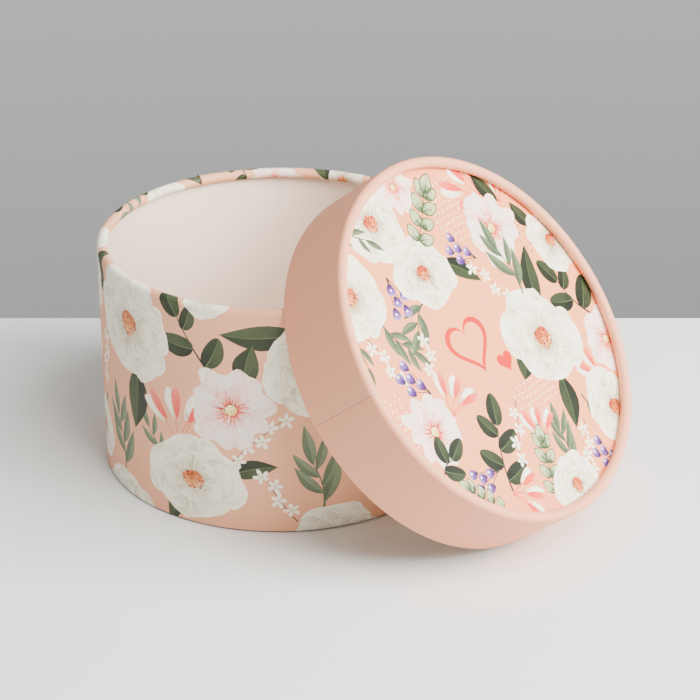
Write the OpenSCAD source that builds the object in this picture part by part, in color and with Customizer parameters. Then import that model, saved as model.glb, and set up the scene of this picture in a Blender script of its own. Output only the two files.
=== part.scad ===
// Round rigid gift box for flowers, with its slip-over lid leaning on the rim.
// Millimetres. The origin is the centre of the underside of the box, +Z is up,
// and the lid leans towards +X.

/* [Box] */
// Outside diameter of the box
box_d = 180; // [150:1:220]
// Height of the box over its rolled rim
box_h = 117.5; // [97:0.5:141]
// Board thickness of the box's wall
wall_t = 1.2; // [0.8:0.1:2]
// Board thickness of the box's base
base_t = 1.8; // [1:0.1:3]

/* [Lid] */
// Height of the lid over its rolled edge
lid_h = 41.5; // [30:0.5:70]
// Board thickness of the lid's wall
lid_wall_t = 1.2; // [0.8:0.1:2]
// Board thickness of the lid's top disc
lid_disc_t = 1.8; // [1:0.1:3]
// Gap all round between the box and the closed lid
lid_clear = 0.5; // [0.3:0.1:2]

/* [Rolled edges] */
// Diameter of the rolled edges, over the paper
bead_d = 5; // [4.4:0.1:7]
// Radius of the board's trimmed edges
edge_r = 0.4; // [0.1:0.05:0.4]
// How far round the board is rolled, in degrees
curl_sweep = 255; // [180:5:270]

/* [Papers] */
// Thickness of the papers
paper_t = 0.2; // [0.1:0.05:0.3]
// Layer of glue between a paper and its board
glue_t = 0.05; // [0.02:0.01:0.1]
// Play of a disc inside its wall
disc_play = 0.1; // [0.05:0.05:0.4]
// Width of the wrap's turn-in under the base
base_turn_in = 12; // [6:1:25]
// Height of the wrap's turn-in inside the lid
lid_turn_in = 10; // [5:1:18]
// Margin from the box's side to the edge of the base paper
base_margin = 5; // [2:1:10]
// Width of the lap where a wrap's two ends meet
lap_w = 9; // [4:1:20]

/* [Leaning lid] */
// Elevation of the lid's top face as it leans, in degrees
lean_tilt = 39; // [30:0.5:48]
// Gap between the leaning lid and the rim
lean_gap = 0.3; // [0.1:0.1:1]
// Place of the lid's lap, in degrees round the lid from its lowest point
lid_lap_at = 260; // [0:1:360]
// Place of the box's lap, in degrees round the box from the lean
box_lap_at = 150; // [0:1:360]

/* [Hidden] */

print_pink = [0.93, 0.78, 0.71];
plain_peach = [0.86, 0.72, 0.65];
liner_cream = [0.90, 0.85, 0.80];
grey_board = [0.62, 0.60, 0.56];

skin_t = paper_t + glue_t;
bead_r = bead_d / 2;
curl_r = bead_r - skin_t;
arc_step = 15;
round_fn = 180;

// The box, from the outside in and from the floor up
box_r = box_d / 2;
box_board_r = box_r - skin_t;
box_bore_r = box_board_r - wall_t;
box_room_r = box_bore_r - skin_t;
board_z = 2 * skin_t;
floor_z = board_z + base_t;
liner_top_z = box_h - bead_d;

// The lid, upright, with its open edge at z = 0
lid_room_r = box_r + lid_clear;
lid_bore_r = lid_room_r + 2 * skin_t;
lid_board_r = lid_bore_r + lid_wall_t;
lid_r = lid_board_r + skin_t;
print_z = lid_h - bead_d - glue_t;
disc_top_z = print_z - skin_t;
disc_low_z = disc_top_z - lid_disc_t;
ceiling_z = disc_low_z - skin_t;

// The lean: the lid stands on its open edge, and either its mouth hooks over the
// rim or, if the lid is shallow, its ceiling meets the rim
rim_r = box_r - bead_r;
rim_z = box_h - bead_r;
lean_z = lid_r * cos(lean_tilt);
rim_over = rim_z - lean_z;
ceiling_x = rim_r + (rim_over * sin(lean_tilt) + bead_r + lean_gap - ceiling_z) / cos(lean_tilt);
lean_x = max(nearest_x(0, 2 * box_r, 24), ceiling_x);

// Distance from the middle of the rolled rim, t degrees round from the lean, to the
// wall of a lid whose mouth is centred at x
function rim_to_wall(x, t) =
    let (ahead = rim_r * cos(t) - x,
         inside = ahead * cos(lean_tilt) + rim_over * sin(lean_tilt),
         up = rim_over * cos(lean_tilt) - ahead * sin(lean_tilt),
         out = norm([up, rim_r * sin(t)]))
    norm([max(-inside, 0), max(lid_room_r - out, out - lid_r, 0)]);

// Halves the stretch from a to b, n times, to find where the lid just clears the rim
function nearest_x(a, b, n) =
    let (m = (a + b) / 2)
    n == 0 ? b
    : min([for (t = [0:1:180]) rim_to_wall(m, t)]) < bead_r + lean_gap ? nearest_x(m, b, n - 1)
    : nearest_x(a, m, n - 1);

// Points along an arc of radius r round (x, z), from angle a to angle b
function arc(x, z, r, a, b) =
    let (n = max(1, ceil(abs(b - a) / arc_step)))
    [for (i = [0:n]) let (t = a + (b - a) * i / n) [x + r * cos(t), z + r * sin(t)]];

// A ring turned from a profile of [radius, height] points
module ring(points) {
    rotate_extrude($fn = round_fn) polygon(points);
}

// A flat disc with its underside at height z
module disc(r, z, t) {
    translate([0, 0, z]) cylinder(r = r, h = t, $fn = round_fn);
}

// A straight tube of paper from height z to height top
module tube(outer, t, z, top) {
    ring([[outer - t, z], [outer, z], [outer, top], [outer - t, top]]);
}

// A board wall that stands at height z and is rolled inwards at its top
module rolled_wall(r, t, z, top) {
    x = r - curl_r;
    y = top - curl_r;
    ring(concat(
        arc(r - edge_r, z + edge_r, edge_r, -90, 0),
        arc(x, y, curl_r, 0, curl_sweep),
        arc(x, y, curl_r - t, curl_sweep, 0),
        arc(r - t + edge_r, z + edge_r, edge_r, 180, 270)));
}

// Outer edge of a sheet that lies d outside the board: up the wall and over the roll,
// from height z at the start to the end of the roll
function over_roll(r, top, d, z) =
    concat([[r + d, z]], arc(r - curl_r, top - curl_r, curl_r + d, 0, curl_sweep));

// The doubled strip of a wrap where its two ends meet
module lap(r, top, z, at) {
    width = lap_w / r * 180 / PI;
    rotate([0, 0, at]) rotate_extrude(angle = width, $fn = round_fn)
        polygon(concat(over_roll(r, top, skin_t + paper_t, z),
                       reversed(over_roll(r, top, skin_t - paper_t / 2, z))));
}

function reversed(list) = [for (i = [len(list) - 1:-1:0]) list[i]];

// Stands the lid on its open edge and leans it on the rim
module leaning() {
    translate([lean_x, 0, lean_z]) rotate([0, 90 - lean_tilt, 0]) children();
}

// Box
module box_wall() {
    color(grey_board) rolled_wall(box_board_r, wall_t, board_z, box_h - skin_t);
}

module box_wrap() {
    top = box_h - skin_t;
    edge_z = board_z + edge_r;
    turn_r = box_r - base_turn_in;
    color(print_pink) union() {
        ring(concat(
            [[turn_r, board_z - skin_t]],
            arc(box_board_r - edge_r, edge_z, edge_r + skin_t, -90, 0),
            over_roll(box_board_r, top, skin_t, edge_z + edge_r),
            reversed(over_roll(box_board_r, top, glue_t, edge_z + edge_r)),
            arc(box_board_r - edge_r, edge_z, edge_r + glue_t, 0, -90),
            [[turn_r, board_z - glue_t]]));
        lap(box_board_r, top, edge_z, box_lap_at);
    }
}

module box_liner() {
    color(liner_cream) tube(box_bore_r - glue_t, paper_t, floor_z + glue_t, liner_top_z);
}

module base_disc() {
    color(grey_board) disc(box_bore_r - disc_play, board_z, base_t);
}

module base_liner() {
    color(liner_cream) disc(box_room_r - disc_play, floor_z + glue_t, paper_t);
}

module base_cover() {
    color(liner_cream) disc(box_r - base_margin, 0, paper_t);
}

// Lid
module lid_wall() {
    color(grey_board) leaning() rolled_wall(lid_board_r, lid_wall_t, skin_t, lid_h - skin_t);
}

module lid_wrap() {
    top = lid_h - skin_t;
    edge_z = skin_t + edge_r;
    color(plain_peach) leaning() union() {
        ring(concat(
            [[lid_bore_r - skin_t, lid_turn_in]],
            arc(lid_bore_r + edge_r, edge_z, edge_r + skin_t, 180, 270),
            arc(lid_board_r - edge_r, edge_z, edge_r + skin_t, -90, 0),
            over_roll(lid_board_r, top, skin_t, edge_z + edge_r),
            reversed(over_roll(lid_board_r, top, glue_t, edge_z + edge_r)),
            arc(lid_board_r - edge_r, edge_z, edge_r + glue_t, 0, -90),
            arc(lid_bore_r + edge_r, edge_z, edge_r + glue_t, 270, 180),
            [[lid_bore_r - glue_t, lid_turn_in]]));
        lap(lid_board_r, top, edge_z, lid_lap_at);
    }
}

module lid_liner() {
    color(liner_cream) leaning() tube(lid_room_r + paper_t, paper_t, edge_r + skin_t, disc_low_z - glue_t);
}

module lid_disc() {
    color(grey_board) leaning() disc(lid_bore_r - disc_play, disc_low_z, lid_disc_t);
}

module lid_print() {
    color(print_pink) leaning() disc(lid_bore_r - 2 * disc_play, print_z - paper_t, paper_t);
}

module lid_ceiling() {
    color(liner_cream) leaning() disc(lid_room_r - disc_play, ceiling_z, paper_t);
}

box_wall();
box_wrap();
box_liner();
base_disc();
base_liner();
base_cover();
lid_wall();
lid_wrap();
lid_liner();
lid_disc();
lid_print();
lid_ceiling();
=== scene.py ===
import bisect
import cmath
import math
import random

import bpy
import numpy as np
from mathutils import Matrix, Vector
from mathutils.geometry import delaunay_2d_cdt


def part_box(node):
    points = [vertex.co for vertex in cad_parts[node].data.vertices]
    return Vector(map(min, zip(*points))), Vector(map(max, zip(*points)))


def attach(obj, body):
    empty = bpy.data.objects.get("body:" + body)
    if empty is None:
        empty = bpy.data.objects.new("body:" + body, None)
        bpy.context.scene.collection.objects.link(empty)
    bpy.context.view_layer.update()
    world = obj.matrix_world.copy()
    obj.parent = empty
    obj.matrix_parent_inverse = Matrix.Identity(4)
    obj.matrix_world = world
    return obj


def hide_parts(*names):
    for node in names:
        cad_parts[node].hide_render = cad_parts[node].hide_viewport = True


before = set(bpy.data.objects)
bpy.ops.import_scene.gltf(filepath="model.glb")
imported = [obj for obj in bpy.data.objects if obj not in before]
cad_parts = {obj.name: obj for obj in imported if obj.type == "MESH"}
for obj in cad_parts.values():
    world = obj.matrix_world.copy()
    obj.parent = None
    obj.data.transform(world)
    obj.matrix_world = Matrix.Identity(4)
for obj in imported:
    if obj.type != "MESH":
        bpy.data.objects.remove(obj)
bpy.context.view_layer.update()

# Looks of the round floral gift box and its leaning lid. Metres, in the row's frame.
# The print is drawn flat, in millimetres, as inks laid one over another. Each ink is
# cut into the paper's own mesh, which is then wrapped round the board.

MM = 0.001
TURN = 2 * math.pi

# ---------------------------------------------------------------- sizes, from the frame


def points_of(node):
    """A CAD node's vertices at rest."""
    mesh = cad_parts[node].data
    flat = np.empty(len(mesh.vertices) * 3, np.float32)
    mesh.vertices.foreach_get("co", flat)
    return flat.reshape(-1, 3).astype(float)


def middle(node):
    low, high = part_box(node)
    return (low + high) / 2


wrap_low, wrap_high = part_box("box_wrap")
cover_low, cover_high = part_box("base_cover")
PAPER = cover_high.z - cover_low.z
BOX_R = wrap_high.y
BOX_H = wrap_high.z
BOX_FOOT = wrap_low.z
BEAD_R = (BOX_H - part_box("box_liner")[1].z) / 2
TURN_IN_R = np.hypot(*points_of("box_wrap")[:, :2].T).min()

LID_AXIS = (middle("lid_print") - middle("lid_ceiling")).normalized()
LID_SIDE = Vector((0, 1, 0))
LID_DOWN = LID_SIDE.cross(LID_AXIS)
along_lid = points_of("lid_wrap") @ np.array(LID_AXIS)
LID_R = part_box("lid_wrap")[1].y
LID_H = along_lid.max() - along_lid.min()
LID_FOOT = middle("lid_print") + LID_AXIS * (along_lid.min() - middle("lid_print").dot(LID_AXIS))
LID_TURN = Matrix((LID_DOWN, LID_SIDE, LID_AXIS)).transposed().to_4x4()
LID_PLACE = Matrix.Translation(LID_FOOT) @ LID_TURN
PRINT_Z = (points_of("lid_print") @ np.array(LID_AXIS)).max() - along_lid.min()
PRINT_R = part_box("lid_print")[1].y
LID_ROOM_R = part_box("lid_liner")[1].y - PAPER

EDGE_R = 0.65 * MM  # outside radius of paper folded over a board's edge
LID_TURN_IN = 10 * MM
CURL_SWEEP = 255  # degrees that the paper follows the rolled edge
BOX_LAP_AT = 150  # degrees round the box from the lean
LID_LAP_AT = 260  # degrees round the lid from its lowest point
LAP = 9 * MM
LAP_GLUE = 0.02 * MM  # between the lap and the sheet's own start
LAP_RISE = 2 * MM  # length over which the lap steps up, and over which its end lifts
LAP_CURL = 0.5 * MM  # how far the lap's free end lifts
LAP_LEAST = 0.05  # share of the lap's step that is left where the sheet faces down
LAP_GUIDES = (-2, -1, 0, 7.5, 8, 8.4, 8.7)  # mm from where the sheet has gone once round
STRIP = 0.4  # mm, width of the inks along the lap's two ends: the pale cut end with its painted highlight, and the painted shadow beneath
CUT_END_HIGHLIGHT = 0.3  # mm, how far the pale cut end reaches; it is painted lighter as a highlight along the lap's free edge
FOOT_SHADE_HEIGHT = 0.75  # mm, height of the painted contact shade along the edge that the box stands on
INSET = 0.01  # mm, keeps an ink clear of the sheet's own edge
COLUMNS = 128  # straight steps once round

# ---------------------------------------------------------------- colours


def ink(r, g, b):
    """A colour from its usual 0 to 255 values, as linear light."""
    return tuple(((c / 255 + 0.055) / 1.055) ** 2.4 if c > 10 else c / 255 / 12.92 for c in (r, g, b))


GROUND = ink(234, 168, 130)
LID_GROUND = ink(244, 168, 122)
PEACH = ink(231, 157, 120)
CREAM = ink(244, 223, 203)
BOARD_DARK = ink(120, 112, 100)
BOARD_PALE = ink(176, 168, 152)
TABLE = ink(232, 231, 226)
WHITE = ink(251, 244, 222)
SHELL = ink(228, 216, 188)
SHADE = ink(182, 166, 130)
BLUSH = ink(247, 229, 218)
CORAL = ink(232, 84, 70)
CORAL_DEEP = ink(190, 52, 42)
PINK_EDGE = ink(242, 196, 178)
# pale paper core at the lap's cut end, lighter as a painted highlight
CORE_AND_HIGHLIGHT = ink(250, 206, 178)
# painted contact shade along the box's foot
FOOT_SHADE = ink(84, 62, 50)
# painted shadow under the lap's step
SEAM_SHADOW = ink(196, 126, 96)
CORAL_BRUSH = ink(214, 48, 40)
CORAL_PALE = ink(243, 146, 124)
STAMEN = ink(200, 100, 50)
STAMEN_DARK = ink(128, 50, 22)
STAMEN_PALE = ink(236, 168, 112)
YOLK = ink(236, 196, 96)
YOLK_PALE = ink(250, 232, 166)
LEAF_DARK = ink(32, 39, 25)
LEAF = ink(67, 77, 50)
LEAF_RIB = ink(108, 124, 80)
SAGE_DARK = ink(84, 98, 74)
SAGE = ink(120, 133, 102)
PALE_DARK = ink(70, 90, 50)
PALE = ink(192, 198, 154)
TWIG = ink(88, 74, 56)
VIOLET = ink(86, 26, 118)
LAVENDER = ink(196, 168, 220)
BERRY_STEM = ink(62, 62, 54)
DOT_BROWN = ink(104, 92, 58)

# ---------------------------------------------------------------- flat artwork


def blend(first, second, share):
    """A colour at a share of the way from the first to the second."""
    return tuple(a + (b - a) * share for a, b in zip(first, second, strict=True))


def on_curve(through, t):
    """The place at t, from 0 to 1, on a smooth curve through three places."""
    a, b, c = through
    return a * (1 - t) * (1 - 2 * t) + 4 * b * t * (1 - t) + c * t * (2 * t - 1)


def squashed(place, squash):
    """The place with its height above the origin squashed."""
    return complex(place.real, place.imag * squash)


def petal_half_width(u):
    """Half width of a petal at u of its length, as a share of its widest half."""
    return 2 * math.sqrt(max(u * (1 - u), 0)) * (0.5 + 0.6 * u) / 0.8


def leaf_half_width(u, roundness):
    """Half width of a leaf at u of its length, pointed at both ends."""
    return math.sin(math.pi * u ** 0.85) ** roundness


def wobble(rand, waves, size):
    """A smooth random function of an angle."""
    parts = [(k, rand.uniform(0, TURN), rand.uniform(0.4, 1) * size) for k in waves]
    return lambda a: sum(s * math.sin(k * a + p) for k, p, s in parts)


class Artwork:
    """Inks in the order that they are laid. Places are complex numbers, in millimetres."""

    def __init__(self, seed, stamens):
        self.inks = []
        self.rand = random.Random(seed)
        self.stamens = stamens  # dots in the heart of each white flower

    def lay(self, outline, root, tip, half, near, far, reach=0.6, streak=0.0, rim=0.0):
        """One ink. Its colour runs from near at the root to far at reach of its length."""
        self.inks.append({
            "outline": facing_up(outline), "root": root, "tip": tip, "half": half,
            "near": near, "far": far, "reach": reach, "streak": streak, "rim": rim,
            "seed": self.rand.uniform(0, 50)})

    def petal(self, root, tip, width, near, far, ruffle=0.05, steps=32, notch=0.0, under=None,
              **wash):
        """A petal from root to tip, broad at its tip, with a ruffled edge. An under colour
        is laid first, a little larger, and shows as a fine line round the petal."""
        along = tip - root
        edge = wobble(self.rand, (2, 3, 5), ruffle)
        frill = wobble(self.rand, (9, 13), ruffle * 0.22)
        outline = []
        for i in range(steps):
            a = TURN * i / steps
            u = 0.5 + 0.5 * math.cos(a)
            v = math.copysign(petal_half_width(u), math.sin(a))
            dent = notch * math.exp(-((math.remainder(a, TURN) / 0.3) ** 2))
            grow = 1 + (edge(a) + frill(a)) * u - dent
            outline.append(root + along * u * grow + 1j * along / abs(along) * v * width / 2 * grow)
        if under:
            middle = (root + tip) / 2
            line = 1 + 0.7 / abs(along)
            larger = [middle + (q - middle) * line for q in outline]
            self.lay(larger, root, tip, width / 2, under, under, streak=0.3)
        self.lay(outline, root, tip, width / 2, near, far, **wash)

    def half_leaf(self, root, tip, width, bend, side, near, far, roundness, **wash):
        """The half of a leaf to one side of its spine: 1 is left of it, -1 right."""
        along = tip - root
        across = 1j * along / abs(along)
        steps = 12
        shares = [0.5 - 0.5 * math.cos(math.pi * i / steps) for i in range(steps + 1)]
        spine = [root + along * u + across * bend * math.sin(math.pi * u) for u in shares]
        edge = [spine[i] + side * across * width / 2 * leaf_half_width(shares[i], roundness)
                for i in range(steps - 1, 0, -1)]
        self.lay(spine + edge, root, tip, width / 2, near, far, **wash)

    def leaf(self, root, tip, width, dark, light, bend=0.0, roundness=1.0, rib=None):
        """A leaf in two halves, one darker, with a pale rib."""
        shade = blend(dark, light, 0.3)
        self.half_leaf(root, tip, width, bend, 1, dark, shade, roundness, streak=0.5)
        shade = blend(dark, light, 0.5)
        self.half_leaf(root, tip, width, bend, -1, shade, light, roundness, streak=0.6)
        if rib:
            crest = (root + tip) / 2 + 1j * (tip - root) / abs(tip - root) * bend
            self.stroke([root, crest, tip], 0.35, 0.05, rib)

    def stroke(self, through, start, end, colour):
        """A thin tapering line along a smooth curve through three points."""
        steps = 8
        line = [on_curve(through, i / steps) for i in range(steps + 1)]
        left = []
        right = []
        for i, p in enumerate(line):
            ahead = line[min(i + 1, steps)] - line[max(i - 1, 0)]
            side = 1j * ahead / abs(ahead) * (start + (end - start) * i / steps) / 2
            left.append(p + side)
            right.append(p - side)
        self.lay(left + right[::-1], through[0], through[2], 1, colour, colour, streak=0.2)

    def dot(self, at, radius, near, far=None, sides=7):
        """A small round spot, which runs from near to far across it."""
        turn = self.rand.uniform(0, TURN)
        outline = [at + radius * cmath.exp(1j * (turn + TURN * i / sides)) for i in range(sides)]
        lean = radius * cmath.exp(2.2j)
        self.lay(outline, at - lean, at + lean, radius, near, far or near, reach=0.9)


def ring_of_petals(art, at, count, length, width, turn, near, far, squash, hollow=0.0,
                   **wash):
    """Petals round a centre, each overlapping the one before."""
    for i in range(count):
        a = turn + TURN * i / count + art.rand.uniform(-0.12, 0.12)
        reach = length * art.rand.uniform(0.88, 1.08)
        out = squashed(cmath.exp(1j * a), squash)
        root = blend(near, far, art.rand.uniform(0, 0.5))
        wide = width * art.rand.uniform(0.85, 1.12)
        art.petal(at + out * hollow, at + out * reach, wide, root, far, **wash)


def heart_of_stamens(art, at, radius, squash):
    """A round heart crowded with small dots, darker to its rim."""
    up = radius * 1.05j * squash
    art.petal(at - up, at + up, radius * 1.9, STAMEN_PALE, STAMEN,
              ruffle=0.03, steps=18, reach=0.8, streak=0.9)
    outer = (STAMEN_DARK, STAMEN_DARK, STAMEN, STAMEN_PALE)
    inner = (STAMEN, STAMEN_PALE, STAMEN_DARK)
    for i in range(art.stamens):
        a = art.rand.uniform(0, TURN)
        share = art.rand.uniform(0.01, 1.2) ** 0.4
        place = at + complex(math.cos(a), math.sin(a) * squash) * radius * share
        size = radius * art.rand.uniform(0.065, 0.12)
        art.dot(place, size, art.rand.choice(outer if share > 0.5 else inner), sides=5)


def white_bloom(art, at, radius, turn=0.0, squash=1.0, rings=3):
    """A many-petalled white flower with an orange heart."""
    petals = ((6, 1.0, 1.06, 0.9), (5, 0.80, 0.92, 1.0), (5, 0.58, 0.64, 1.05), (5, 0.42, 0.44, 1.1))
    for ring, (count, length, width, reach) in enumerate(petals[:rings]):
        ring_of_petals(art, at, count, radius * length, radius * width, turn, SHADE, WHITE, squash,
                       hollow=radius * 0.12, ruffle=0.05, reach=reach, streak=0.75, rim=1.0,
                       under=SHELL if ring else None)
        turn += 0.5
    for i in range(9):
        out = cmath.exp(1j * (turn + TURN * i / 9 + art.rand.uniform(-0.2, 0.2)))
        out = squashed(out, squash) * radius
        start = art.rand.uniform(0.24, 0.4)
        end = art.rand.uniform(0.45, 0.75)
        bend = out * cmath.exp(1j * art.rand.uniform(-0.3, 0.3))
        fold = [at + out * start, at + bend * (start + end) / 2, at + out * end]
        art.stroke(fold, 0.3, 0.05, SHADE)
    heart_of_stamens(art, at, radius * 0.215, squash)


def coral_rays(art, at, radius, turn, squash, count=44):
    """Fine coral strokes, from close to the centre to as much as half way out."""
    shades = (CORAL, CORAL_PALE, CORAL, CORAL_DEEP, CORAL_PALE)
    for i in range(count):
        a = turn + TURN * i / count + art.rand.uniform(-0.1, 0.1)
        out = complex(math.cos(a), math.sin(a) * squash)
        long = radius * art.rand.uniform(0.2, 0.5)
        bent = out * cmath.exp(0.12j)
        ray = [at + out * radius * 0.1, at + bent * long * 0.55, at + out * long]
        art.stroke(ray, radius * 0.05, radius * 0.006, art.rand.choice(shades))


def pink_bloom(art, at, radius, turn=0.0, squash=1.0):
    """A flat five-petalled flower, coral round a yellow heart."""
    ring_of_petals(art, at, 5, radius, radius * 0.96, turn, CORAL_PALE, BLUSH, squash, ruffle=0.06,
                   steps=40, notch=0.16, reach=0.62, streak=0.9, rim=0.8, under=PINK_EDGE)
    for i in range(5):
        out = squashed(cmath.exp(1j * (turn + TURN * (i + 0.5) / 5)), squash) * radius
        vein = [at + out * 0.2, at + out * cmath.exp(0.06j) * 0.5, at + out * 0.74]
        art.stroke(vein, 0.25, 0.1, CORAL_PALE)
    coral_rays(art, at, radius, turn, squash)
    art.dot(at, radius * 0.16, CORAL_DEEP, STAMEN_DARK, sides=14)
    art.dot(at, radius * 0.135, YOLK, YOLK_PALE, sides=14)
    for i in range(16):
        place = cmath.exp(1j * (TURN * i / 16 + 0.1)) * radius * art.rand.uniform(0.13, 0.2)
        shade = art.rand.choice((YOLK_PALE, STAMEN, CORAL_DEEP))
        art.dot(at + place, radius * 0.02, shade, sides=5)


def sprig(art, root, tip, leaves, length, width, colours, bend, spread, roundness=1.0):
    """A stem with leaves to left and right in turn, and one at its tip."""
    along = tip - root
    dark, light, stem, rib = colours
    crest = (root + tip) / 2 + 1j * along / abs(along) * bend
    art.stroke([root, crest, tip], 1.1, 0.5, stem)
    for i in range(leaves):
        t = (i + 0.7) / (leaves + 0.35)
        at = on_curve((root, crest, tip), t)
        side = 1 if i % 2 else -1
        size = length * (1.1 - 0.35 * t) * art.rand.uniform(0.85, 1.1)
        out = along / abs(along) * cmath.exp(1j * side * spread * art.rand.uniform(0.8, 1.15))
        wide = width * size / length
        art.leaf(at, at + out * size, wide, dark, light, side * size * 0.05, roundness, rib)
    end = tip + along / abs(along) * length * 0.9
    art.leaf(tip, end, width * 0.9, dark, light, 0.0, roundness, rib)


def eucalyptus(art, root, tip, leaves, length, bend=2.0):
    """A sprig of round dark leaves with a pale rib."""
    colours = (LEAF_DARK, LEAF, LEAF_DARK, LEAF_RIB)
    sprig(art, root, tip, leaves, length, length * 0.6, colours, bend, 1.0, 0.52)


def olive(art, root, tip, leaves, length):
    """A sprig of narrow sage leaves without a rib."""
    sprig(art, root, tip, leaves, length, length * 0.28, (SAGE_DARK, SAGE, SAGE_DARK, None), -2.0, 0.5)


def big_leaf(art, root, tip, width):
    art.leaf(root, tip, width, LEAF_DARK, LEAF, 1.5, 1.0, LEAF_RIB)


def pale_leaf(art, root, tip, width):
    """A plump pale leaf with a dark green edge and rib."""
    art.leaf(root, tip, width, PALE_DARK, SAGE_DARK, 0.0, 0.7)
    inner = root + (tip - root) * 0.08, root + (tip - root) * 0.93
    for side, near in ((1, SAGE), (-1, PALE_DARK)):
        art.half_leaf(*inner, width * 0.84, 0.0, side, near, PALE, 0.7, reach=0.55, streak=0.9)
    art.stroke([root, (root + tip) / 2, root + (tip - root) * 0.8], 0.4, 0.1, PALE_DARK)


def pale_cluster(art, at, size, turn=0.0):
    """A short sprig of plump pale leaves in pairs."""
    along = cmath.exp(1j * (math.pi / 2 + turn)) * size
    art.stroke([at - along * 0.9, at, at + along * 0.6], 0.6, 0.4, PALE_DARK)
    for i in range(4):
        foot = at + along * (0.42 * i - 0.9)
        for side in (1, -1):
            out = along * cmath.exp(1j * side * (0.95 - 0.1 * i)) * art.rand.uniform(0.5, 0.6)
            pale_leaf(art, foot, foot + out, size * 0.36)
    pale_leaf(art, at + along * 0.5, at + along * 1.1, size * 0.4)


def bud(art, head, end, size):
    """One long bud from head to end, half white and half coral."""
    side = 1j * (end - head) * 0.09
    art.petal(head + side, end + side, size * 0.19, SHELL, WHITE, ruffle=0.04, steps=18,
              reach=0.5, rim=1.0, under=CORAL_PALE)
    art.petal(head - side * 0.3, end - side * 2, size * 0.15, CORAL, CORAL_PALE, ruffle=0.03,
              steps=16, reach=1.5, streak=0.9)


def buds(art, root, tip, count=3):
    """Long coral and white buds, and a forked twig, on thin coral stems."""
    along = tip - root
    for i in range(count):
        fan = (i - (count - 1) / 2) * 0.5
        reach = 1.0 - 0.3 * abs(fan) - 0.15 * (i % 2)
        head = root + along * cmath.exp(1j * fan) * reach * 0.45
        end = root + along * cmath.exp(1j * fan * 1.15) * reach
        art.stroke([root, (root + head) / 2 + 1j * along * 0.03, head], 0.5, 0.35, CORAL)
        bud(art, head, end, abs(along))
    fork = root + along * cmath.exp(-0.62j) * 0.42
    art.stroke([root, (root + fork) / 2, fork], 0.4, 0.4, CORAL)
    for lean in (-0.7, 0.5):
        out = along * cmath.exp(1j * lean)
        art.stroke([fork, fork + out * 0.07, fork + out * 0.14], 0.4, 0.7, CORAL)


def twig(art, root, tip, blossoms, size=4.2):
    """Small white blossoms along a thin brown twig."""
    side = 1j * (tip - root) / abs(tip - root)
    art.stroke([root, (root + tip) / 2 + side, tip], 0.6, 0.35, TWIG)
    for i in range(blossoms):
        t = (i + 0.9) / blossoms
        at = root + (tip - root) * min(t, 1) + side * (1.6 if i % 2 else -1.2)
        ring_of_petals(art, at, 5, size, size * 0.46, art.rand.uniform(0, 1.5), SHELL, WHITE, 1.0,
                       ruffle=0.08, steps=10, reach=0.5)
        art.dot(at, size * 0.12, SHADE, sides=5)


def berries(art, at, size, turn=0.0):
    """Five violet berries on thin stems that meet below them."""
    down = cmath.exp(1j * (turn - 1.2))
    foot = at + down * size * 1.5
    places = [at + cmath.exp(1j * (turn + 1.3 * i)) * size * (0.75 if i else 0.0) for i in range(5)]
    for p in places:
        art.stroke([foot, (foot + p) / 2 + down * 0.4j, p], 0.5, 0.3, BERRY_STEM)
    for p in places:
        r = size * 0.36
        art.petal(p + down * r, p - down * r, r * 1.7, VIOLET, LAVENDER, ruffle=0.01, steps=14,
                  reach=1.5, streak=0.8)
        art.dot(p - down * r * 0.35 + r * 0.25j, r * 0.24, WHITE, sides=6)
        art.dot(p + down * r * 0.75, r * 0.24, BERRY_STEM, sides=5)


def dots(art, at, wide, high, pitch, radius, colour):
    """A loose round patch of small dots."""
    columns = int(wide / pitch)
    rows = int(high / pitch)
    for i in range(columns):
        for j in range(rows):
            x = (i - columns / 2 + 0.5 * (j % 2)) * pitch + art.rand.uniform(-0.3, 0.3)
            y = (j - rows / 2) * pitch + art.rand.uniform(-0.3, 0.3)
            if (2 * x / wide) ** 2 + (2 * y / high) ** 2 < 1:
                art.dot(at + complex(x, y), radius, colour, sides=6)


def box_art():
    """The wrap's print: one repeat of half the way round, drawn again all along. A few
    more motifs near the lap fill the far rim."""
    art = Artwork(7, 54)
    repeat = math.pi * BOX_R / MM
    first = 104.0
    for k in (-1, 0, 1, 2):
        box_repeat(art, first + repeat * k)
    olive(art, 40 + 104j, 68 + 127j, 5, 16)
    big_leaf(art, 24 + 106j, 4 + 127j, 11)
    white_bloom(art, 33 + 130j, 14, 0.4)
    pink_bloom(art, 532 + 127j, 14, 0.2)
    big_leaf(art, 516 + 104j, 502 + 127j, 11)
    eucalyptus(art, 560 + 98j, 548 + 126j, 5, 13)
    return art.inks


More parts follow.
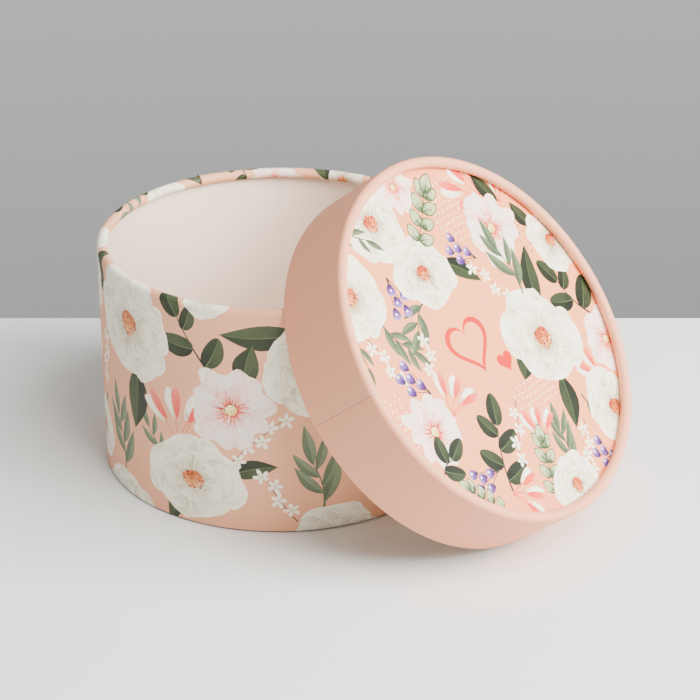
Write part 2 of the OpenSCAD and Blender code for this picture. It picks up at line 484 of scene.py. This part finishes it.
def box_repeat(art, o):
    """One repeat of the wrap's print, from o mm along it. Heights are from the table."""
    art.rand.seed(11)
    olive(art, o + 50 + 12j, o + 45 + 40j, 5, 22)
    olive(art, o + 80 + 26j, o + 72 + 44j, 3, 16)
    olive(art, o + 163 + 12j, o + 158 + 36j, 5, 25)
    olive(art, o + 250 + 66j, o + 262 + 96j, 5, 18)
    olive(art, o + 10 + 14j, o + 22 + 34j, 4, 15)
    big_leaf(art, o + 64 + 74j, o + 61 + 40j, 15)
    big_leaf(art, o + 152 + 106j, o + 114 + 104j, 13)
    big_leaf(art, o + 152 + 84j, o + 136 + 72j, 11)
    big_leaf(art, o + 118 + 30j, o + 141 + 36j, 10)
    big_leaf(art, o + 126 + 78j, o + 130 + 100j, 13)
    big_leaf(art, o + 88 + 18j, o + 84 - 4j, 9)
    big_leaf(art, o + 30 + 100j, o + 22 + 124j, 12)
    big_leaf(art, o + 196 + 60j, o + 190 + 30j, 14)
    big_leaf(art, o + 232 + 24j, o + 262 + 20j, 13)
    eucalyptus(art, o + 111 + 80j, o + 92 + 109j, 3, 19, 1)
    eucalyptus(art, o + 214 + 92j, o + 240 + 110j, 3, 18)
    eucalyptus(art, o + 196 + 22j, o + 206 + 46j, 3, 17)
    twig(art, o + 116 + 34j, o + 145 + 62j, 5)
    twig(art, o + 150 + 6j, o + 134 + 32j, 4)
    twig(art, o + 34 + 84j, o + 26 + 54j, 4)
    twig(art, o + 262 + 38j, o + 276 + 60j, 4)
    buds(art, o + 92 + 42j, o + 86 + 76j)
    buds(art, o + 180 + 74j, o + 190 + 108j)
    buds(art, o + 20 + 44j, o + 4 + 68j)
    buds(art, o + 226 + 60j, o + 240 + 84j)
    white_bloom(art, o + 4 + 102j, 23, 0.9)
    white_bloom(art, o + 107 + 124j, 13, 0.3, 1.0, 2)
    white_bloom(art, o + 54 + 114j, 16, 0.2, 1.0, 2)
    white_bloom(art, o + 59 + 95j, 28, 0.2)
    pink_bloom(art, o + 119 + 65j, 22, 0.5)
    white_bloom(art, o + 98 + 24j, 27, 1.0, 0.82)
    white_bloom(art, o + 160 + 88j, 26, 1.4)
    white_bloom(art, o + 170 - 7j, 24, 0.6, 0.9)
    white_bloom(art, o + 51 - 8j, 24, 0.1, 0.9)
    pink_bloom(art, o + 214 + 74j, 21, 1.1)
    white_bloom(art, o + 226 + 8j, 24, 0.4, 0.9)
    white_bloom(art, o + 268 + 84j, 22, 0.0)
    white_bloom(art, o + 18 + 22j, 17, 0.8)


def heart_outline(at, size, share=1.0):
    """Points round a heart, scaled about its middle."""
    points = []
    for i in range(48):
        a = TURN * i / 48
        x = 0.5 * math.sin(a) ** 3
        y = (13 * math.cos(a) - 5 * math.cos(2 * a) - 2 * math.cos(3 * a) - math.cos(4 * a)) / 32
        points.append(at + size * share * complex(x, y))
    return points


def heart(art, at, size, stroke):
    """A plain heart, drawn with a stroke of that share of it. At 1 it is filled. Inside
    the stroke is an ink of the paper's own colour."""
    top = at + 0.4j * size
    for share, colour in ((1.0, CORAL_BRUSH), (1 - stroke, LID_GROUND)):
        if share > 0:
            art.lay(heart_outline(at, size, share), top, at - 0.5j * size, size, colour, colour)


def lid_art():
    """The lid's print, from the middle of the disc, with up the lid as up."""
    art = Artwork(5, 88)
    dots(art, 27 + 62j, 30, 34, 3.2, 0.55, WHITE)
    dots(art, 66 + 36j, 20, 26, 3.6, 0.5, DOT_BROWN)
    dots(art, 12 - 34j, 34, 20, 3.2, 0.55, WHITE)
    dots(art, -80 - 10j, 16, 30, 3.2, 0.55, WHITE)
    olive(art, -58 + 32j, -49 + 14j, 5, 16)
    olive(art, -24 + 30j, -38 + 20j, 3, 18)
    olive(art, 6 - 74j, 12 - 56j, 5, 17)
    olive(art, -74 + 36j, -80 + 18j, 3, 13)
    olive(art, 40 - 48j, 50 - 66j, 3, 14)
    big_leaf(art, 0 + 42j, 19 + 24j, 10)
    big_leaf(art, 46 - 2j, 61 + 28j, 12)
    big_leaf(art, 18 - 14j, 9 - 27j, 11)
    big_leaf(art, 34 - 34j, 24 - 60j, 12)
    big_leaf(art, 74 + 34j, 68 + 50j, 9)
    eucalyptus(art, 79 - 18j, 69 + 4j, 3, 17)
    eucalyptus(art, -39 - 66j, -25 - 37j, 4, 18)
    twig(art, 15 + 38j, 30 + 10j, 4, 3.8)
    twig(art, -72 + 30j, -66 + 4j, 4, 3.8)
    twig(art, -35 + 20j, -45 + 1j, 3, 3.8)
    twig(art, -5 - 32j, -24 - 56j, 4, 3.8)
    twig(art, 32 - 58j, 18 - 80j, 4, 3.8)
    buds(art, -48 - 22j, -30 - 4j)
    buds(art, 62 - 50j, 57 - 27j)
    buds(art, -2 - 57j, 5 - 36j)
    buds(art, -40 - 67j, -18 - 76j)
    buds(art, 52 + 60j, 30 + 80j, 4)
    buds(art, 62 + 52j, 64 + 66j, 3)
    big_leaf(art, 61 + 53j, 53 + 73j, 9)
    berries(art, 16 + 43j, 8, 0.4)
    berries(art, -41 + 36j, 8.5, 2.6)
    berries(art, -60 + 3j, 8.5, 0.2)
    berries(art, -52 - 53j, 8, 1.1)
    berries(art, 33 - 77j, 8, 0.3)
    pale_cluster(art, -59 - 60j, 14, 0.6)
    pink_bloom(art, -2 + 83j, 13, 0.2)
    pink_bloom(art, 46 + 43j, 19, 0.5)
    pink_bloom(art, -64 - 23j, 18, 0.9)
    pink_bloom(art, 79 - 33j, 16, 0.1)
    white_bloom(art, -29 + 73j, 20, 0.4)
    white_bloom(art, -67 + 49j, 21, 1.1)
    white_bloom(art, -15 + 41j, 19, 0.8, 0.95)
    white_bloom(art, 81 + 23j, 16, 0.2, 1.0, 2)
    white_bloom(art, 37 - 15j, 25, 0.6)
    white_bloom(art, 58 - 63j, 20, 1.6)
    pale_cluster(art, 8 + 67j, 20, -0.85)
    pale_cluster(art, -7 - 64j, 17, -0.4)
    white_bloom(art, 3 - 82j, 16, 0.0, 1.0, 4)
    olive(art, 41 + 8j, 41 + 32j, 4, 21)
    olive(art, -52 + 84j, -38 + 68j, 3, 13)
    eucalyptus(art, -74 - 43j, -64 - 38j, 2, 15)
    heart(art, -12 + 2j, 30, 0.2)
    heart(art, 4 - 14j, 11, 1.0)
    return art.inks


# ---------------------------------------------------------------- sheets of paper


def facing_up(outline):
    """The outline with its points in counterclockwise order."""
    area = sum((p.conjugate() * q).imag for p, q in zip(outline, outline[1:] + outline[:1], strict=True))
    return outline if area > 0 else outline[::-1]


def within(xs, ys, outline):
    """Which of the places lie inside the outline."""
    inside = np.zeros(len(xs), bool)
    for p, q in zip(outline, outline[1:] + outline[:1], strict=True):
        if p.imag != q.imag:
            crossing = (ys < p.imag) != (ys < q.imag)
            at = p.real + (ys - p.imag) * (q.real - p.real) / (q.imag - p.imag)
            inside ^= crossing & (xs < at)
    return inside


def top_inks(centres, inks):
    """The number of the ink on top at each place, or -1 where the paper is bare."""
    order = np.argsort(centres.real)
    xs = centres.real[order]
    ys = centres.imag[order]
    top = np.full(len(xs), -1)
    for number, one in enumerate(inks):
        outline = np.array(one["outline"])
        low, high = np.searchsorted(xs, (outline.real.min(), outline.real.max()))
        level = ys[low:high]
        near = low + np.flatnonzero((level > outline.imag.min()) & (level < outline.imag.max()))
        top[near[within(xs[near], ys[near], one["outline"])]] = number
    back = np.empty_like(top)
    back[order] = top
    return back


def reaches(one, domain):
    """Whether an ink's outline comes within the domain's bounding box."""
    outline = np.array(one["outline"])
    sheet = np.array(domain)
    return (outline.real.max() > sheet.real.min() and outline.real.min() < sheet.real.max()
            and outline.imag.max() > sheet.imag.min() and outline.imag.min() < sheet.imag.max())


def cut_flat(domain, guides, inks):
    """Cuts a flat sheet, in millimetres, along its guide lines and every ink's outline.
    Returns its points, its triangles, and the number of the ink on top on each."""
    points = []
    edges = []
    for outline in [domain] + [one["outline"] for one in inks]:
        first = len(points)
        points += [Vector((p.real, p.imag)) for p in outline]
        edges += [(first + i, first + (i + 1) % len(outline)) for i in range(len(outline))]
    for a, b in guides:
        edges.append((len(points), len(points) + 1))
        points += [Vector((a.real, a.imag)), Vector((b.real, b.imag))]
    flat, _, triangles, _, _, _ = delaunay_2d_cdt(points, edges, [], 0, 1e-4, False)
    flat = np.array([complex(*p) for p in flat])
    triangles = np.array(triangles)
    centres = flat[triangles].mean(axis=1)
    kept = within(centres.real, centres.imag, domain)
    triangles = triangles[kept]
    return flat, triangles, top_inks(centres[kept], inks)


def arc(x, z, r, a, b, step=12):
    """Profile points round an arc, each with its outward normal: (radius, height, nr, nz)."""
    count = max(2, round(abs(b - a) / step))
    angles = [math.radians(a + (b - a) * i / count) for i in range(count + 1)]
    return [(x + r * math.cos(t), z + r * math.sin(t), math.cos(t), math.sin(t)) for t in angles]


class Profile:
    """A path in the plane of radius and height, with its length measured along it."""

    def __init__(self, stations, zero_height=None):
        self.stations = stations
        self.at = [0.0]
        for (r0, z0, *_), (r1, z1, *_) in zip(stations, stations[1:], strict=False):
            self.at.append(self.at[-1] + math.hypot(r1 - r0, z1 - z0))
        if zero_height is not None:
            self.start_from(zero_height)

    def start_from(self, height):
        """Shifts lengths so that on the longest stretch, the upright wall, each is the
        height above the given one."""
        runs = [b - a for a, b in zip(self.at, self.at[1:], strict=False)]
        i = runs.index(max(runs))
        shift = self.stations[i][1] - height - self.at[i]
        self.at = [a + shift for a in self.at]

    def __call__(self, along):
        """Radius, height and unit normal at a length along the profile."""
        i = min(max(bisect.bisect_right(self.at, along) - 1, 0), len(self.at) - 2)
        share = (along - self.at[i]) / (self.at[i + 1] - self.at[i])
        ends = zip(self.stations[i], self.stations[i + 1], strict=True)
        r, z, nr, nz = (a + (b - a) * share for a, b in ends)
        size = math.hypot(nr, nz)
        return r, z, nr / size, nz / size


def smooth(x):
    """A soft step from 0 to 1 as x goes from 0 to 1."""
    x = min(max(x, 0.0), 1.0)
    return x * x * (3 - 2 * x)


def lap_lift(past, free):
    """How far the sheet stands off, at a length past once round. The lap steps up by a
    paper's thickness and its end curls up, less where free is under 1."""
    step = (PAPER + LAP_GLUE) * smooth((past + LAP_RISE) / LAP_RISE) * max(free, LAP_LEAST)
    return step + LAP_CURL * (free * smooth((past - LAP) / LAP_RISE + 1)) ** 2


def wrapped(profile, around, start, place, depth=0.0):
    """A function from a flat place, in mm, to its point and normal on a sheet that goes
    once round and over its own start. The lap lies flat where the sheet faces down, so
    that the foot stays level."""
    def on(flat):
        x = flat.real * MM
        r, z, nr, nz = profile(flat.imag * MM)
        lift = lap_lift(x - TURN * around, 1 - max(-nz, 0)) - depth
        angle = math.radians(start) + x / around
        out = Vector((math.cos(angle), math.sin(angle), 0))
        normal = out * nr + Vector((0, 0, nz))
        point = out * r + Vector((0, 0, z)) + normal * lift
        return place @ point, (place.to_3x3() @ normal).normalized()
    return on


def perimeter(triangles):
    """The outline of a flat sheet, as its point numbers in order."""
    edges = {pair for a, b, c in triangles.tolist() for pair in ((a, b), (b, c), (c, a))}
    outer = {a: b for a, b in edges if (b, a) not in edges}
    first = min(outer)
    loop = [first]
    at = outer[first]
    while at != first:
        loop.append(at)
        at = outer[at]
    return loop


def spot(p):
    """A flat place, rounded so that the same place on two sheets compares equal."""
    return round(p.real, 3), round(p.imag, 3)


def renumbered(triangles, first):
    """The triangles with their points numbered from first, and the old numbers in order."""
    used, back = np.unique(triangles, return_inverse=True)
    return back.reshape(triangles.shape) + first, used


def paper_piece(name, body, node, domain, guides, inks, front, back, material, ground):
    """A closed thin sheet, which replaces a CAD node: its printed front, its plain back,
    and its cut edges."""
    inks = [one for one in inks if reaches(one, domain)]
    flat, triangles, tops = cut_flat(domain, guides, inks)
    ring = perimeter(triangles)
    plain, plain_triangles, _ = cut_flat([flat[i] for i in ring], guides, [])
    front_faces, used = renumbered(triangles, 0)
    back_faces, plain_used = renumbered(plain_triangles, len(used))
    placed = [front(p) for p in flat[used]] + [back(p) for p in plain[plain_used]]
    ring_front = np.searchsorted(used, ring)
    by_spot = {spot(plain[i]): len(used) + k for k, i in enumerate(plain_used)}
    ring_back = [by_spot[spot(flat[i])] for i in ring]
    edge_faces = [[ring_front[k], ring_front[k - 1], ring_back[k - 1], ring_back[k]]
                  for k in range(len(ring))]
    faces = front_faces.tolist() + back_faces[:, ::-1].tolist() + edge_faces
    mesh = bpy.data.meshes.new(name)
    mesh.from_pydata([p for p, _ in placed], [], faces)
    mesh.polygons.foreach_set("use_smooth", [True] * len(mesh.polygons))
    paint(mesh, flat[triangles].ravel(), np.repeat(tops, 3), inks, ground)
    set_normals(mesh, np.array([n for _, n in placed]), front_faces, back_faces)
    mesh.materials.append(material)
    piece = bpy.data.objects.new(name, mesh)
    bpy.context.scene.collection.objects.link(piece)
    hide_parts(node)
    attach(piece, body)
    return piece


def set_normals(mesh, normals, front_faces, back_faces):
    """Smooth normals from the sheet's own shape, and flat ones on its cut edges."""
    first = len(front_faces) + len(back_faces)
    edges = [polygon.normal.copy() for polygon in mesh.polygons[first:] for _ in polygon.vertices]
    front = normals[front_faces.ravel()]
    back = -normals[back_faces[:, ::-1].ravel()]
    mesh.normals_split_custom_set(np.concatenate([front, back, np.array(edges)]).tolist())


def paint(mesh, corners, tops, inks, ground):
    """Stores each corner's two inks, its place in its petal, and how its ink is washed."""
    count = len(mesh.loops)
    near = np.ones((count, 4), np.float32)
    far = np.ones((count, 4), np.float32)
    petal = np.zeros((count, 3), np.float32)
    wash = np.zeros((count, 3), np.float32)
    near[:, :3] = ground
    far[:, :3] = ground
    inked = np.flatnonzero(tops >= 0)
    if len(inked):
        which = tops[inked]
        tip, root, half = (np.array([one[key] for one in inks]) for key in ("tip", "root", "half"))
        along = (tip - root)[which]
        local = (corners[inked] - root[which]) / along
        near[inked, :3] = np.array([one["near"] for one in inks])[which]
        far[inked, :3] = np.array([one["far"] for one in inks])[which]
        petal[inked, 0] = local.real
        petal[inked, 1] = local.imag * np.abs(along) / half[which]
        petal[inked, 2] = np.array([one["seed"] for one in inks])[which]
        washes = np.array([(one["reach"], one["streak"], one["rim"]) for one in inks])
        wash[inked] = washes[which]
    for name, kind, values in (("ink_near", "FLOAT_COLOR", near), ("ink_far", "FLOAT_COLOR", far),
                               ("petal", "FLOAT_VECTOR", petal), ("wash", "FLOAT_VECTOR", wash)):
        layer = mesh.attributes.new(name, kind, "CORNER")
        layer.data.foreach_set("color" if kind == "FLOAT_COLOR" else "vector", values.ravel())


def rectangle(left, right, low, high):
    return [complex(left, low), complex(right, low), complex(right, high), complex(left, high)]


def grid_guides(wide, profile, columns):
    """Guide lines up the sheet at even steps, and along it at each of its profile's stations."""
    rows = [a / MM for a in profile.at]
    lefts = [wide * i / columns for i in range(1, columns)]
    lines = [(complex(left, rows[0]), complex(left, rows[-1])) for left in lefts]
    return lines + [(complex(0, row), complex(wide, row)) for row in rows[1:-1]]


def strip(left, right, low, high, colour):
    """A plain ink over a rectangle."""
    outline = rectangle(left, right, low, high)
    return {"outline": outline, "root": outline[0], "tip": outline[3], "half": 1, "near": colour,
            "far": colour, "reach": 0.6, "streak": 0.2, "rim": 0.0, "seed": 1.0}


def painted_foot_shade(profile, around):
    """Painted contact shade: a dark band along the edge that the box stands on."""
    wide = (TURN * around + LAP) / MM
    return [strip(INSET, wide - INSET, profile.at[0] / MM + INSET, FOOT_SHADE_HEIGHT, FOOT_SHADE)]


def seam_inks(profile, around):
    """The pale core of the paper at its cut end, painted lighter as a highlight, and a painted shadow on
    the layer beneath, where the lap's step would cast it.
    """
    low = profile.at[0] / MM + INSET
    high = profile.at[-1] / MM - INSET
    wide = (TURN * around + LAP) / MM
    return [strip(left, left + STRIP, low, high, colour)
            for left, colour in ((wide - CUT_END_HIGHLIGHT, CORE_AND_HIGHLIGHT), (LAP / MM, SEAM_SHADOW))]


def wrapped_piece(name, body, node, profile, around, start, place, inks, material, ground):
    """A sheet that goes once round, from the profile's first station to its last."""
    wide = (TURN * around + LAP) / MM
    low = profile.at[0] / MM
    high = profile.at[-1] / MM
    lap_lines = [(complex(x, low), complex(x, high))
                 for x in (TURN * around / MM + step for step in LAP_GUIDES)]
    guides = grid_guides(wide, profile, COLUMNS) + lap_lines
    front = wrapped(profile, around, start, place)
    back = wrapped(profile, around, start, place, PAPER)
    inks = inks + seam_inks(profile, around)
    return paper_piece(name, body, node, rectangle(0, wide, low, high), guides, inks,
                       front, back, material, ground)


def disc_piece(name, body, node, radius, z, place, inks, material, ground):
    """A flat disc of paper with its face at height z."""
    angles = [TURN * i / COLUMNS for i in range(COLUMNS)]
    rim = [complex(radius / MM * math.cos(a), radius / MM * math.sin(a)) for a in angles]
    up = (place.to_3x3() @ Vector((0, 0, 1))).normalized()

    def on(depth):
        return lambda p: (place @ Vector((-p.imag * MM, p.real * MM, z - depth)), up)
    return paper_piece(name, body, node, rim, [], inks, on(0.0), on(PAPER), material, ground)


# ---------------------------------------------------------------- materials


class Nodes:
    """A material's node tree, built by short calls."""

    def __init__(self, name):
        self.material = bpy.data.materials.new(name)
        self.material.use_nodes = True
        self.tree = self.material.node_tree
        self.shader = self.tree.nodes["Principled BSDF"]

    def add(self, kind, settings=None, **inputs):
        """Adds a node. Inputs are given by name, or by number as i0, i1 and so on."""
        node = self.tree.nodes.new(kind)
        for key, value in (settings or {}).items():
            setattr(node, key, value)
        for key, value in inputs.items():
            numbered = key[0] == "i" and key[1:].isdigit()
            self.put(node.inputs[int(key[1:]) if numbered else key], value)
        return node

    def put(self, socket, value):
        if isinstance(value, bpy.types.NodeSocket):
            self.tree.links.new(value, socket)
        else:
            socket.default_value = value

    def math(self, operation, *values, clamp=False):
        node = self.tree.nodes.new("ShaderNodeMath")
        node.operation = operation
        node.use_clamp = clamp
        for socket, value in zip(node.inputs, values, strict=False):
            self.put(socket, value)
        return node.outputs[0]

    def noise(self, vector, scale, detail=3.0, roughness=0.5):
        node = self.add("ShaderNodeTexNoise", Vector=vector, Scale=scale, Detail=detail,
                        Roughness=roughness)
        return node.outputs[0]

    def mix(self, share, a, b, blend="MIX"):
        node = self.tree.nodes.new("ShaderNodeMix")
        node.data_type = "RGBA"
        node.blend_type = blend
        for number, value in ((0, share), (6, a), (7, b)):
            self.put(node.inputs[number], value)
        return node.outputs[2]

    def between(self, value, low, high, to_low=0.0, to_high=1.0):
        node = self.add("ShaderNodeMapRange", {"interpolation_type": "SMOOTHSTEP"},
                        i0=value, i1=low, i2=high, i3=to_low, i4=to_high)
        return node.outputs[0]

    def place(self):
        return self.add("ShaderNodeTexCoord").outputs["Object"]

    def bump(self, height, strength, distance):
        node = self.add("ShaderNodeBump", Strength=strength, Distance=distance, Height=height)
        self.put(self.shader.inputs["Normal"], node.outputs[0])


def paper_surface(n, colour, roughness, grain, gloss):
    """Finishes a paper: faint mottling, fibres, and a fine satin grain."""
    at = n.place()
    mottle = n.noise(at, 160.0, 3.0)
    fibre = n.noise(at, 2600.0, 2.0)
    tone = n.math("MULTIPLY_ADD", mottle, 0.05, 0.965)
    tone = n.math("MULTIPLY_ADD", fibre, 0.03, n.math("SUBTRACT", tone, 0.005))
    tone = n.add("ShaderNodeCombineColor", i0=tone, i1=tone, i2=tone).outputs[0]
    n.put(n.shader.inputs["Base Color"], n.mix(1.0, colour, tone, "MULTIPLY"))
    n.put(n.shader.inputs["Roughness"], n.math("MULTIPLY_ADD", fibre, 0.12, roughness))
    n.bump(n.math("ADD", fibre, n.math("MULTIPLY", mottle, 0.6)), grain, 0.00005)
    n.shader.inputs["Specular IOR Level"].default_value = gloss
    return n.material


def plain_paper(name, colour):
    """Uncoated paper of one colour."""
    return paper_surface(Nodes(name), (*colour, 1.0), 0.6, 0.3, 0.4)


def attribute(n, name):
    """The three parts of a vector that paint() stored."""
    node = n.add("ShaderNodeAttribute", {"attribute_name": name})
    return n.add("ShaderNodeSeparateXYZ", Vector=node.outputs["Vector"]).outputs


def running_ink(n, u, v, seed, reach, streak):
    """Share of the far colour: it grows to the tip, in streaks and soft pools."""
    lines = n.add("ShaderNodeCombineXYZ", X=n.math("MULTIPLY", u, 1.3),
                  Y=n.math("MULTIPLY", v, 5.0), Z=seed)
    streaks = n.math("SUBTRACT", n.noise(lines.outputs[0], 1.6, 3.0, 0.6), 0.5)
    pools = n.math("SUBTRACT", n.noise(n.place(), 420.0, 3.0, 0.55), 0.5)
    run = n.math("MULTIPLY_ADD", n.math("MULTIPLY", streaks, streak), 1.3, u)
    run = n.math("MULTIPLY_ADD", pools, n.math("MULTIPLY_ADD", streak, 1.1, 0.2), run)
    return n.between(n.math("DIVIDE", run, n.math("MAXIMUM", reach, 0.05)), 0.05, 1.0)


def across_petal(n, u, v):
    """How far a place is from a petal's middle line, as a share of the way to its edge."""
    inner = n.math("MULTIPLY", n.math("SUBTRACT", 1.0, u), u)
    width = n.math("MULTIPLY", n.math("SQRT", n.math("MAXIMUM", inner, 0.0001)),
                   n.math("MULTIPLY_ADD", u, 1.5, 1.25))
    return n.math("DIVIDE", n.math("ABSOLUTE", v), width)


def petal_rim(n, colour, near, out, rim):
    """A petal's white edge, and inside it a shade of its near colour."""
    edge = n.math("MULTIPLY", n.between(out, 0.80, 0.97), rim)
    inside = n.math("SUBTRACT", 1.0, n.between(out, 0.86, 0.95))
    fold = n.math("MULTIPLY", n.math("MULTIPLY", n.between(out, 0.45, 0.86), inside), rim)
    colour = n.mix(n.math("MULTIPLY", fold, 0.4), colour, near)
    return n.mix(n.math("MULTIPLY", edge, 0.8), colour, (*WHITE, 1.0))


def printed_paper(name, depth, gloss):
    """Watercolour inks: each runs from its near to its far colour along its petal. A
    depth over 1 makes all but the whites deeper."""
    n = Nodes(name)
    near = n.add("ShaderNodeAttribute", {"attribute_name": "ink_near"}).outputs["Color"]
    far = n.add("ShaderNodeAttribute", {"attribute_name": "ink_far"}).outputs["Color"]
    u, v, seed = attribute(n, "petal")
    reach, streak, rim = attribute(n, "wash")
    colour = n.mix(running_ink(n, u, v, seed, reach, streak), near, far)
    colour = petal_rim(n, colour, near, across_petal(n, u, v), rim)
    colour = n.add("ShaderNodeGamma", Color=colour, Gamma=depth).outputs[0]
    return paper_surface(n, colour, 0.46, 0.3, gloss)


def board_material():
    """Rough grey board with darker flecks."""
    n = Nodes("grey_board")
    flecks = n.noise(n.place(), 1800.0, 4.0, 0.7)
    colour = n.mix(flecks, (*BOARD_DARK, 1.0), (*BOARD_PALE, 1.0))
    n.put(n.shader.inputs["Base Color"], colour)
    n.put(n.shader.inputs["Roughness"], n.math("MULTIPLY_ADD", flecks, 0.1, 0.85))
    n.bump(flecks, 0.5, 0.0001)
    return n.material


# ---------------------------------------------------------------- the pieces

box_profile = Profile(
    [(TURN_IN_R, BOX_FOOT, 0, -1)]
    + arc(BOX_R - EDGE_R, BOX_FOOT + EDGE_R, EDGE_R, -90, 0, 30)
    + arc(BOX_R - BEAD_R, BOX_H - BEAD_R, BEAD_R, 0, CURL_SWEEP), zero_height=0.0)
wrapped_piece("box_print", "box", "box_wrap", box_profile, BOX_R, BOX_LAP_AT,
              Matrix.Identity(4), box_art() + painted_foot_shade(box_profile, BOX_R),
              printed_paper("box_print", 1.0, 0.3), GROUND)

lid_profile = Profile(
    [(LID_ROOM_R + 2 * PAPER, LID_TURN_IN, -1, 0)]
    + arc(LID_ROOM_R + 2 * PAPER + EDGE_R, EDGE_R, EDGE_R, 180, 270, 30)
    + arc(LID_R - EDGE_R, EDGE_R, EDGE_R, -90, 0, 30)
    + arc(LID_R - BEAD_R, LID_H - BEAD_R, BEAD_R, 0, CURL_SWEEP))
wrapped_piece("lid_paper", "lid", "lid_wrap", lid_profile, LID_R, LID_LAP_AT,
              LID_PLACE, [], printed_paper("plain_paper", 1.0, 0.3), PEACH)

disc_piece("lid_art", "lid", "lid_print", PRINT_R, PRINT_Z, LID_PLACE,
           lid_art(), printed_paper("lid_print", 1.25, 0.2), LID_GROUND)

board = board_material()
cream = plain_paper("liner_paper", CREAM)
for names, material in ((("box_wall", "base_disc", "lid_wall", "lid_disc"), board),
                        (("box_liner", "base_liner", "base_cover", "lid_liner", "lid_ceiling"), cream)):
    for name in names:
        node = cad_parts[name]
        node.data.materials.clear()
        node.data.materials.append(material)

# ---------------------------------------------------------------- table, light and camera

VIEW_AZIMUTH = math.radians(35.57)
VIEW_ELEVATION = math.radians(26.13)
AIM = Vector((0.0356, 0.0100, 0.0600))
CAMERA_DISTANCE = 1.182
LENS = 121.7
TABLE_BACK = 0.151  # from the box's middle to the table's back edge, in the view's direction
TABLE_FRONT = 3.0
TABLE_SIDE = 2.5
TABLE_THICK = 0.03
BACKDROP = (-0.44, -0.31, 0.43, 0.585)  # from and to: the line of sight's slope, and the grey there
view_right = Vector((math.cos(VIEW_AZIMUTH), math.sin(VIEW_AZIMUTH), 0))
view_ahead = Vector((-math.sin(VIEW_AZIMUTH), math.cos(VIEW_AZIMUTH), 0))


def stage_material(name, colour):
    """A plain surface, with the faintest of mottling."""
    n = Nodes(name)
    tone = n.noise(n.place(), 30.0, 2.0)
    darker = [c * 0.985 for c in colour]
    n.put(n.shader.inputs["Base Color"], n.mix(tone, (*darker, 1.0), (*colour, 1.0)))
    n.shader.inputs["Roughness"].default_value = 0.6
    return n.material


def table():
    """A pale table top whose back edge is just behind the object."""
    mesh = bpy.data.meshes.new("table")
    corners = []
    for z in (0.0, -TABLE_THICK):
        for corner in rectangle(-TABLE_SIDE, TABLE_SIDE, -TABLE_FRONT, TABLE_BACK):
            place = view_right * corner.real + view_ahead * corner.imag
            corners.append(place + Vector((0, 0, z)))
    sides = [[i, i + 4, (i + 1) % 4 + 4, (i + 1) % 4] for i in range(4)]
    mesh.from_pydata(corners, [], [[0, 1, 2, 3], [7, 6, 5, 4]] + sides)
    mesh.materials.append(stage_material("table_white", TABLE))
    top = bpy.data.objects.new("table", mesh)
    bpy.context.scene.collection.objects.link(top)


def soft_light(name, azimuth, elevation, distance, size, power):
    """A square softbox that faces the object. Azimuth is from the camera, to its right."""
    lamp = bpy.data.lights.new(name, "AREA")
    lamp.size = size
    lamp.energy = power
    holder = bpy.data.objects.new(name, lamp)
    a = math.radians(azimuth)
    e = math.radians(elevation)
    level = view_right * math.sin(a) - view_ahead * math.cos(a)
    toward = level * math.cos(e) + Vector((0, 0, math.sin(e)))
    holder.location = AIM + toward * distance
    holder.rotation_euler = toward.to_track_quat("Z", "Y").to_euler()
    bpy.context.scene.collection.objects.link(holder)


def studio():
    """A grey backdrop, lighter above, and two softboxes to the camera's right."""
    world = bpy.data.worlds.new("studio")
    world.use_nodes = True
    tree = world.node_tree
    height = tree.nodes.new("ShaderNodeSeparateXYZ")
    tree.links.new(tree.nodes.new("ShaderNodeTexCoord").outputs["Generated"], height.inputs[0])
    ramp = tree.nodes.new("ShaderNodeMapRange")
    tree.links.new(height.outputs["Z"], ramp.inputs[0])
    for socket, value in zip(ramp.inputs[1:5], BACKDROP, strict=True):
        socket.default_value = value
    tree.links.new(ramp.outputs[0], tree.nodes["Background"].inputs[0])
    bpy.context.scene.world = world
    soft_light("side", 70, 28, 1.6, 0.7, 69)
    soft_light("high", 40, 55, 1.6, 0.9, 43)


def camera():
    lens = bpy.data.cameras.new("camera")
    lens.lens = LENS
    holder = bpy.data.objects.new("camera", lens)
    back = -view_ahead * math.cos(VIEW_ELEVATION) + Vector((0, 0, math.sin(VIEW_ELEVATION)))
    holder.location = AIM + back * CAMERA_DISTANCE
    holder.rotation_euler = back.to_track_quat("Z", "Y").to_euler()
    bpy.context.scene.collection.objects.link(holder)
    bpy.context.scene.camera = holder


table()
studio()
camera()
